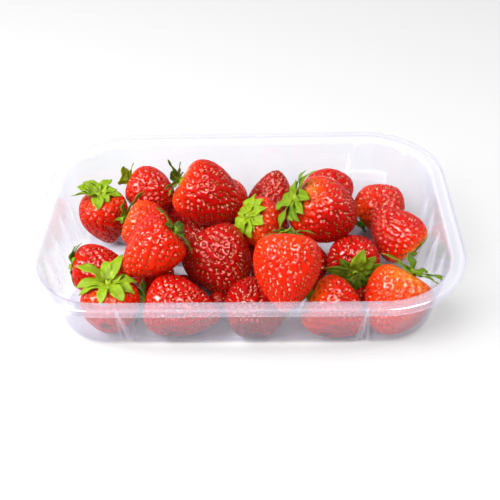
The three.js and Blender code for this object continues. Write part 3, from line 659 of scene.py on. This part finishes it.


# leaves: for each one its turn round the stem in degrees, its length and width in mm, its lift off the
# berry in degrees, and its own tone where that differs. rise and fall: the way leaves head at the root
# and at the tip, in degrees above the plane across the stem. tone: 0 yellow green, 1 dark green; the tone is
# partly the leaf's own green and partly painted light and shade, darker for leaves turned away or in shade and
# paler for leaves seen from behind.
# stalk: how tall the stub is in mm, where it is taller than usual.
calyxes = {
    "frontLeft": {"rise": 14, "fall": -42, "tone": 0.08, "leaves": [
        (250, 14.5, 4.8, 36), (205, 9.5, 5, 42), (163, 14, 4, 36), (126, 8, 5, 14), (98, 11, 4.4, 6),
        (72, 11.5, 4.6, 0), (34, 11, 5, 0), (345, 11, 5, 0), (306, 12.5, 4.6, 0), (281, 13, 4.2, 4)]},
    "frontSecond": {"rise": 20, "fall": 0, "tone": 0.85, "stalk": 5, "leaves": [
        (82, 10, 7, 42), (120, 10, 6, 10), (40, 8, 6, 70), (335, 11, 5, 20), (300, 10, 5, 30),
        (280, 13, 5, 10)]},
    "frontThird": {"rise": 30, "fall": 5, "tone": 0.3, "leaves": [
        (100, 12, 5, 20), (60, 13, 5.5, 15), (130, 9, 5, 10)]},
    "frontFourth": {"rise": 25, "fall": 5, "tone": 0.7, "leaves": [
        (345, 13, 5, 25), (20, 9, 5, 20), (60, 8, 5, 30), (95, 9, 5.5, 15), (318, 13.5, 5.5, -4, 0.1)]},
    "frontRight": {"rise": 16, "fall": -16, "tone": 0.4, "leaves": [
        (18, 14, 4.4, 2), (338, 11, 4.6, 40), (60, 9, 4, 0), (98, 6.5, 5.5, -4), (140, 8, 4, 0),
        (176, 13, 4.6, 4), (202, 16, 4, 16), (250, 8, 4, 30)]},
    "leftMiddle": {"rise": 0, "fall": -50, "tone": 0.3, "leaves": [
        (98, 11, 3.4, 12), (124, 11, 3.4, 4), (282, 11, 3.4, 6), (62, 8, 4, 0), (330, 8, 4, 0),
        (240, 8, 4, 0)]},
    "leftTop": {"rise": 10, "fall": -25, "tone": 0.72, "leaves": [
        (48, 12, 3.2, 8), (322, 7, 3.8, 42, 0.85), (228, 11, 3.6, 4, 0.6), (5, 5, 4, 10),
        (270, 7, 3.6, 20), (90, 7, 4, 0)]},
    "topFront": {"rise": 0, "fall": -48, "tone": 0.62, "leaves": [
        (8, 9, 2.6, 2, 0.8), (40, 6.5, 3.6, 26, 0.85), (80, 4.5, 5.4, 26, 0.15), (112, 4, 4, 16),
        (150, 6, 3, 4), (172, 9, 1.8, 26, 0.5), (280, 7, 4, 0)]},
    "rightMiddle": {"rise": 18, "fall": -24, "tone": 0.4, "leaves": [
        (166, 13, 5.2, 6), (138, 9, 5.6, 2, 0.6), (80, 11.5, 5.4, 6, 0.2), (44, 10.5, 5.2, 4, 0.3),
        (20, 11, 4.8, 2), (338, 9, 5, 0, 0.6), (304, 9, 5, -4, 0.6), (270, 11, 5, 0, 0.6), (234, 8, 5, 0, 0.6),
        (200, 9, 5, 0, 0.5)]},
    "rightTilted": {"rise": -10, "fall": -50, "tone": 0.2, "leaves": [
        (20, 7, 3.4, 0), (60, 8, 3.4, 0), (100, 8, 3.4, 0), (140, 7, 3.4, 0), (260, 7, 4, 0)]},
    "backLeft": {"rise": 14, "fall": -26, "tone": 0.16, "leaves": [
        (306, 12, 5, 24), (270, 10, 5, 36), (242, 9, 5, 44), (208, 9, 5, 34), (165, 11, 4.8, 14),
        (120, 8, 5, 4), (84, 10, 5.2, -4), (50, 8, 5, 0), (8, 10.5, 5.2, -4)]},
    "leftInner": {"rise": 6, "fall": -35, "tone": 0.5, "leaves": [
        (158, 17, 3.4, 2), (92, 9, 5.4, 34), (255, 9, 2.6, 60), (30, 6, 4, 10)]},
    # painted light: these leaves, seen from behind in shade, are given the palest tone
    "backSecond": {"rise": 12, "fall": -20, "tone": 0.0, "leaves": [
        (74, 8.5, 5, 34), (122, 8, 2.4, 14), (24, 6, 4, 40), (200, 7, 4, 0)]},
    "topLeft": {"rise": 12, "fall": -14, "tone": 0.5, "leaves": [
        (40, 8, 5, 44, 0.9), (88, 13, 1.8, 46, 0.5), (112, 7.5, 3, 30, 0.5), (350, 12, 2.6, 22, 0.6),
        (200, 7, 3.4, 0), (300, 8, 4, 6)]},
    "centre": {"rise": 16, "fall": -28, "tone": 0.1, "leaves": [
        (116, 10, 5.6, 4), (88, 10, 5, 2), (56, 10, 5.4, 2), (24, 10, 5.6, 0), (350, 8, 5, 0),
        (328, 10.5, 5.8, 2), (300, 10.5, 5.6, 4), (264, 8, 5, 4), (180, 6, 5, 0)]},
    # painted shade: the long leaf at 352 degrees hangs down and is given a darker tone
    "topRight": {"rise": 14, "fall": -34, "tone": 0.34, "leaves": [
        (86, 17, 4.4, 10), (104, 13, 4, 20), (46, 13.5, 6.4, 2), (14, 14, 6, 0), (352, 17, 4, 4, 0.6),
        (330, 11, 5, 2), (312, 16, 6.2, 10), (276, 10, 5, 34), (230, 8, 5, 30), (160, 8, 5, 20)]},
    "backRight": {"rise": 20, "fall": -10, "tone": 0.8, "leaves": [
        (90, 10, 6, 16), (45, 8, 5, 10), (135, 9, 5, 0), (250, 7, 5, 0)]},
}
leafShape = {
    "rows": 13, "columns": 7, "thickness": 0.3, "gap": 0.35, "fold": 0.16,
    "root": 0.8, "rootAngle": 0.12, "rootRise": 0.5, "rootWidth": 0.55, "bendPower": 1.2,
    "swell": 1.7, "belly": (0.36, 0.56), "widths": (0.85, 1.15),
    "wave": 0.26, "waves": 1.7, "twist": 0.25, "sway": 0.12,
}
stalkShape = {"radius": 1.35, "bore": 0.75, "height": 1.7, "columns": 18}


# pushes places that are inside the berry out to just over its skin, as seen from its middle
def restOnBerry(berry, places, gap):
    angle = np.linspace(0, math.pi, 300)
    radius, rise = profileOf(berry, angle)
    heading, reach = np.arctan2(radius, rise), np.hypot(radius, rise)
    order = np.argsort(heading)
    own = np.linalg.norm(places, axis=-1)
    towards = np.arctan2(np.hypot(places[..., 0], places[..., 1]), places[..., 2])
    skinAt = np.interp(towards, heading[order], reach[order])
    return places * np.maximum(1, (skinAt + gap) / own)[..., None]


# a leaf: its middle line leaves the stem at one heading and bends evenly to another, its width
# starts broad, swells to its belly and runs out to a point, as t^a (1 - t)^b does, and it is
# folded along its rib with a slight wave at its edges
def leafSheet(berry, calyx, leaf, rng):
    turn, size, wide, lift = leaf[:4]
    turn = math.radians(turn)
    s = leafShape
    t = np.linspace(0, 1, s["rows"])[:, None]
    across = np.linspace(-1, 1, s["columns"])[None, :]
    heading = np.radians(calyx["rise"] + lift + (calyx["fall"] - calyx["rise"]) * t ** s["bendPower"])
    step = size / (s["rows"] - 1)
    radius = s["root"] + np.cumsum(np.cos(heading), 0) * step
    stemRise = profileOf(berry, np.array([s["rootAngle"]]))[1][0]
    rise = stemRise + s["rootRise"] + np.cumsum(np.sin(heading), 0) * step
    belly = rng.uniform(*s["belly"])
    swell = (t / belly) ** (s["swell"] * belly) * ((1 - t) / (1 - belly)) ** (s["swell"] * (1 - belly))
    half = wide / 2 * (swell + s["rootWidth"] * (1 - t) ** 3) * rng.uniform(*s["widths"])
    wave = s["wave"] * np.sin(2 * math.pi * s["waves"] * t + rng.uniform(0, 6)) * across
    high = half * (s["fold"] * np.abs(across) ** 1.5 + wave)
    twist = rng.normal(0, s["twist"]) * t
    sideways = half * across * np.cos(twist) - high * np.sin(twist)
    normal = half * across * np.sin(twist) + high * np.cos(twist)
    outward = radius - normal * np.sin(heading)
    upward = rise + normal * np.cos(heading)
    sideways = sideways + rng.normal(0, s["sway"]) * t ** 2 * size
    places = np.stack([
        outward * math.cos(turn) - sideways * math.sin(turn),
        outward * math.sin(turn) + sideways * math.cos(turn),
        upward,
    ], -1)
    return restOnBerry(berry, places, s["gap"])


# a calyx: all the leaves of a berry as one piece, kept inside the punnet and given their thickness
def makeCalyx(name, berry, calyx, number, material):
    rows, columns = leafShape["rows"], leafShape["columns"]
    rng = np.random.default_rng(500 + number)
    points, faces, first = [], [], 0
    attributes = {"along": [], "across": [], "tone": []}
    for leaf in calyx["leaves"]:
        points.append(leafSheet(berry, calyx, leaf, rng).reshape(-1, 3))
        faces.append(sheetFaces(rows, columns, first))
        attributes["along"].append(np.repeat(np.linspace(0, 1, rows), columns))
        attributes["across"].append(np.tile(np.linspace(-1, 1, columns), rows))
        # a leaf's tone, partly painted light and shade
        attributes["tone"].append(np.full(rows * columns, leaf[4] if len(leaf) > 4 else calyx["tone"]))
        first += rows * columns
    world = np.concatenate(points) @ berryAxes(berry) + np.array(berry["at"])
    attributes = {key: np.concatenate(parts) for key, parts in attributes.items()}
    piece = addPiece("calyx." + name, keepInside(world), faces, material, attributes)
    solid = piece.modifiers.new("leafThickness", "SOLIDIFY")
    solid.thickness = leafShape["thickness"] * mm
    solid.offset = 0
    return piece


# a short stalk stub: a profile of (radius, height) round the stem, with a hollow in its top that is painted
# dark: painted shade in the hollow
def makeStalk(name, berry, calyx, material):
    s = stalkShape
    radius, bore, columns = s["radius"], s["bore"], s["columns"]
    base = profileOf(berry, np.array([leafShape["rootAngle"]]))[1][0] - 0.3
    top = base + calyx.get("stalk", s["height"])
    profile = np.array([
        (radius * 2.2, base), (radius * 1.4, base + 0.8), (radius, base + 1.2),
        (radius, top + 0.8), (radius * 0.8, top + 1.0), (bore, top + 0.9), (bore * 0.8, top + 0.3),
    ])
    # painted shade: the rings inside the hollow get the darkest tone
    hollow = np.repeat([0, 0, 0, 0, 0, 0.5, 1], columns)
    turn = np.linspace(0, 2 * math.pi, columns, endpoint=False)[None, :]
    radii, heights = profile[:, :1], profile[:, 1:]
    rings = np.stack([radii * np.cos(turn), radii * np.sin(turn), heights * np.ones_like(turn)], -1)
    places = np.concatenate([rings.reshape(-1, 3), [[0, 0, top + 0.2]], [[0, 0, base - 0.5]]])
    count = len(places)
    faces = [
        ringFaces(len(profile), columns)[:, ::-1],
        fanFaces(count - 2, count - 2 - columns, columns),
        fanFaces(count - 1, 0, columns, turned=True),
    ]
    world = keepInside(places @ berryAxes(berry) + np.array(berry["at"]))
    attributes = {
        "along": np.concatenate([hollow, [1, 0]]),
        "across": np.ones(count),
        "tone": np.concatenate([calyx["tone"] * 0.5 + hollow, [1, 0]]),
    }
    return addPiece("stalk." + name, world, faces, material, attributes)


leafFinish = {
    "greens": ((0.0, (0.215, 0.31, 0.003)), (0.5, (0.062, 0.122, 0.002)), (1.0, (0.014, 0.048, 0.002))),
    "blotch": (0.025, 0.058, 0.002), "blotchShare": 0.6, "blotchScale": 480,
    "rib": (0.18, 0.26, 0.015), "ribNarrow": 40.0, "ribShare": 0.5,
    "veins": 42.0, "veinSlant": 9.0, "veinShare": 0.25,
    "root": (0.22, 0.28, 0.012), "rootReach": 3.5, "rootShare": 0.55,
}


# green with a paler rib, veins and root, blotched, and darker along its middle: the rib falls off as
# e^(-40 across^2), and the veins are narrow waves that slant off it
def leafGreen():
    f = leafFinish
    material, tree = newMaterial("calyxGreen")
    along, across, tone = attributeOf(tree, "along"), attributeOf(tree, "across"), attributeOf(tree, "tone")
    aside = mathOf(tree, "ABSOLUTE", across)
    middle = mathOf(tree, "MULTIPLY_ADD", mathOf(tree, "POWER", aside, 1.5), -0.35, 0.45)
    blotch = mathOf(tree, "MULTIPLY_ADD", noiseOf(tree, f["blotchScale"], 4), 1.5, -0.5)
    dark = mathOf(tree, "MULTIPLY", mathOf(tree, "ADD", blotch, middle, clamp=True), f["blotchShare"])
    green = mixColour(tree, dark, rampOf(tree, tone, f["greens"]), f["blotch"])
    rib = mathOf(tree, "MULTIPLY", mathOf(tree, "POWER", across, 2.0), -f["ribNarrow"])
    rib = mathOf(tree, "POWER", 2.718, rib)
    slant = mathOf(tree, "MULTIPLY", aside, -f["veinSlant"])
    vein = mathOf(tree, "SINE", mathOf(tree, "MULTIPLY_ADD", along, f["veins"], slant))
    vein = mathOf(tree, "POWER", mathOf(tree, "ABSOLUTE", vein), 6.0)
    vein = mathOf(tree, "MULTIPLY", vein, f["veinShare"])
    pale = mathOf(tree, "ADD", mathOf(tree, "MULTIPLY", rib, f["ribShare"]), vein, clamp=True)
    root = mathOf(tree, "SUBTRACT", 1.0, mathOf(tree, "MULTIPLY", along, f["rootReach"]), clamp=True)
    colour = mixColour(tree, pale, green, f["rib"])
    colour = mixColour(tree, mathOf(tree, "MULTIPLY", root, f["rootShare"]), colour, f["root"])
    bump = addNode(tree, "ShaderNodeBump", {"Height": pale, "Strength": 0.3, "Distance": 0.0004}).outputs[0]
    addSurface(tree, {
        "Base Color": colour, "Roughness": 0.5, "Normal": bump, "Specular IOR Level": 0.08,
        "Subsurface Weight": 0.15, "Subsurface Radius": (0.6, 1.0, 0.2), "Subsurface Scale": 0.0008,
    })
    return material


studio = {
    "floorSize": 6.0, "floorWhite": 0.27, "floorGlow": 0.27,
    # painted shade: the part of the floor under the punnet where the glow is left out, so that it is darker
    # there: half sizes, colour, and where it starts and ends to fade
    "foot": (0.086, 0.047), "footWhite": 0.64, "footShadeFade": (0.7, 1.1),
    "places": {"left": (-0.62, -0.34, 0.8), "right": (0.48, -0.3, 0.86), "front": (0.0, -1.1, 0.5)},
    # place, size, watts, the rays it is hidden from, and the pieces it shines on where not on all
    "lamps": {
        "leftGleam": ("left", 0.6, 150, "diffuse", "skins"),
        "rightGleam": ("right", 0.54, 96, "diffuse", "skins"),
        "leftShine": ("left", 0.46, 40, "diffuse", "others"),
        "rightShine": ("right", 0.46, 36, "diffuse", "others"),
        "leftFill": ("left", 0.7, 34, "glossy", "skins"),
        "rightFill": ("right", 0.7, 14, "glossy", "skins"),
        "leftSoft": ("left", 0.7, 34, "glossy", None),
        "rightSoft": ("right", 0.7, 7, "glossy", None),
        "front": ("front", 1.2, 4, "glossy", None),
    },
    "sky": ((0.0, 0.05), (0.45, 0.05), (0.52, 0.35), (1.0, 0.7)),  # from straight down to straight up
}
view = {
    "distance": 384.92, "elevation": 39.92, "azimuth": 2.76, "roll": -2.32,
    "aim": (1.91, 0, 15.52), "focalPixels": 824.64, "framePixels": 500, "sensor": 36,
}


# a plain pale floor that glows evenly, except where the punnet stands: painted shade under the punnet, inside
# (x / a)^4 + (y / b)^4 = 1
def makeFloor():
    half = studio["floorSize"] / 2 / mm
    points = np.array([(-half, -half, -0.02), (half, -half, -0.02), (half, half, -0.02), (-half, half, -0.02)])
    material, tree = newMaterial("paleFloorShadedUnderPunnet")
    place = addNode(tree, "ShaderNodeSeparateXYZ", {0: addNode(tree, "ShaderNodeTexCoord").outputs["Object"]})
    across = [mathOf(tree, "DIVIDE", place.outputs[axis], reach) for axis, reach in enumerate(studio["foot"])]
    away = mathOf(tree, "ADD", *[mathOf(tree, "POWER", mathOf(tree, "ABSOLUTE", part), 4.0) for part in across])
    near, far = studio["footShadeFade"]
    outside = addNode(tree, "ShaderNodeMapRange", {0: away, 1: near, 2: far}).outputs[0]
    addSurface(tree, {
        "Base Color": mixColour(tree, outside, (studio["footWhite"],) * 3, (studio["floorWhite"],) * 3),
        "Roughness": 0.6, "Emission Color": (1, 1, 1, 1),
        "Emission Strength": mathOf(tree, "MULTIPLY", outside, studio["floorGlow"]),
    })
    addPiece("floor", points, [np.array([[0, 1, 2, 3]])], material)


# collections of the pieces for the lamps that don't shine on all
lit = {key: bpy.data.collections.new(key) for key in ("skins", "others")}


def makeLight():
    for name, (side, size, watts, hiddenFrom, only) in studio["lamps"].items():
        lamp = bpy.data.lights.new(name, "AREA")
        lamp.size, lamp.energy = size, watts
        holder = bpy.data.objects.new(name, lamp)
        holder.location = studio["places"][side]
        holder.rotation_euler = holder.location.to_track_quat("Z", "Y").to_euler()
        setattr(holder, "visible_" + hiddenFrom, False)
        if only:
            holder.light_linking.receiver_collection = lit[only]
        scene.collection.objects.link(holder)
    world = bpy.data.worlds.new("studio")
    world.use_nodes = True
    tree = world.node_tree
    direction = addNode(tree, "ShaderNodeTexCoord").outputs["Generated"]
    height = addNode(tree, "ShaderNodeSeparateXYZ", {0: direction}).outputs["Z"]
    grey = [(place, (value,) * 3) for place, value in studio["sky"]]
    glow = rampOf(tree, mathOf(tree, "MULTIPLY_ADD", height, 0.5, 0.5), grey)
    tree.links.new(glow, tree.nodes["Background"].inputs["Color"])
    scene.world = world
    scene.view_settings.view_transform = "Standard"


# the camera stands at a distance from its aim, along "back", and is rolled about that line
def makeCamera():
    azimuth, elevation, roll = (math.radians(view[key]) for key in ("azimuth", "elevation", "roll"))
    level = math.cos(elevation)
    back = np.array([math.sin(azimuth) * level, -math.cos(azimuth) * level, math.sin(elevation)])
    right = unit(np.cross([0, 0, 1], back))
    up = np.cross(back, right)
    turnedRight = right * math.cos(roll) + up * math.sin(roll)
    turnedUp = up * math.cos(roll) - right * math.sin(roll)
    place = (np.array(view["aim"]) + back * view["distance"]) * mm
    lens = bpy.data.cameras.new("camera")
    lens.sensor_width = view["sensor"]
    lens.lens = view["focalPixels"] / view["framePixels"] * view["sensor"]
    lens.clip_start = 0.01
    camera = bpy.data.objects.new("camera", lens)
    rows = [[turnedRight[i], turnedUp[i], back[i], place[i]] for i in range(3)]
    camera.matrix_world = Matrix(rows + [[0, 0, 0, 1]])
    scene.collection.objects.link(camera)
    scene.camera = camera


makeCamera()
makeLight()
makeFloor()
print("camera, light and floor are up")

tray = makePunnet(clearPlastic())
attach(tray, "root")
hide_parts("punnet")
lit["others"].objects.link(tray)
print("punnet made,", len(tray.data.polygons), "faces")

skinMaterial = berrySkin()
green = leafGreen()
for number, (name, berry) in enumerate(berries.items()):
    pieces = [makeBerry(name, berry, number, skinMaterial)]
    if name in calyxes:
        pieces.append(makeCalyx(name, berry, calyxes[name], number, green))
        pieces.append(makeStalk(name, berry, calyxes[name], green))
    for piece in pieces:
        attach(piece, "root")
        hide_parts("strawberries")
        lit["skins" if piece is pieces[0] else "others"].objects.link(piece)
print(len(berries), "strawberries made,", len(calyxes), "with a calyx")
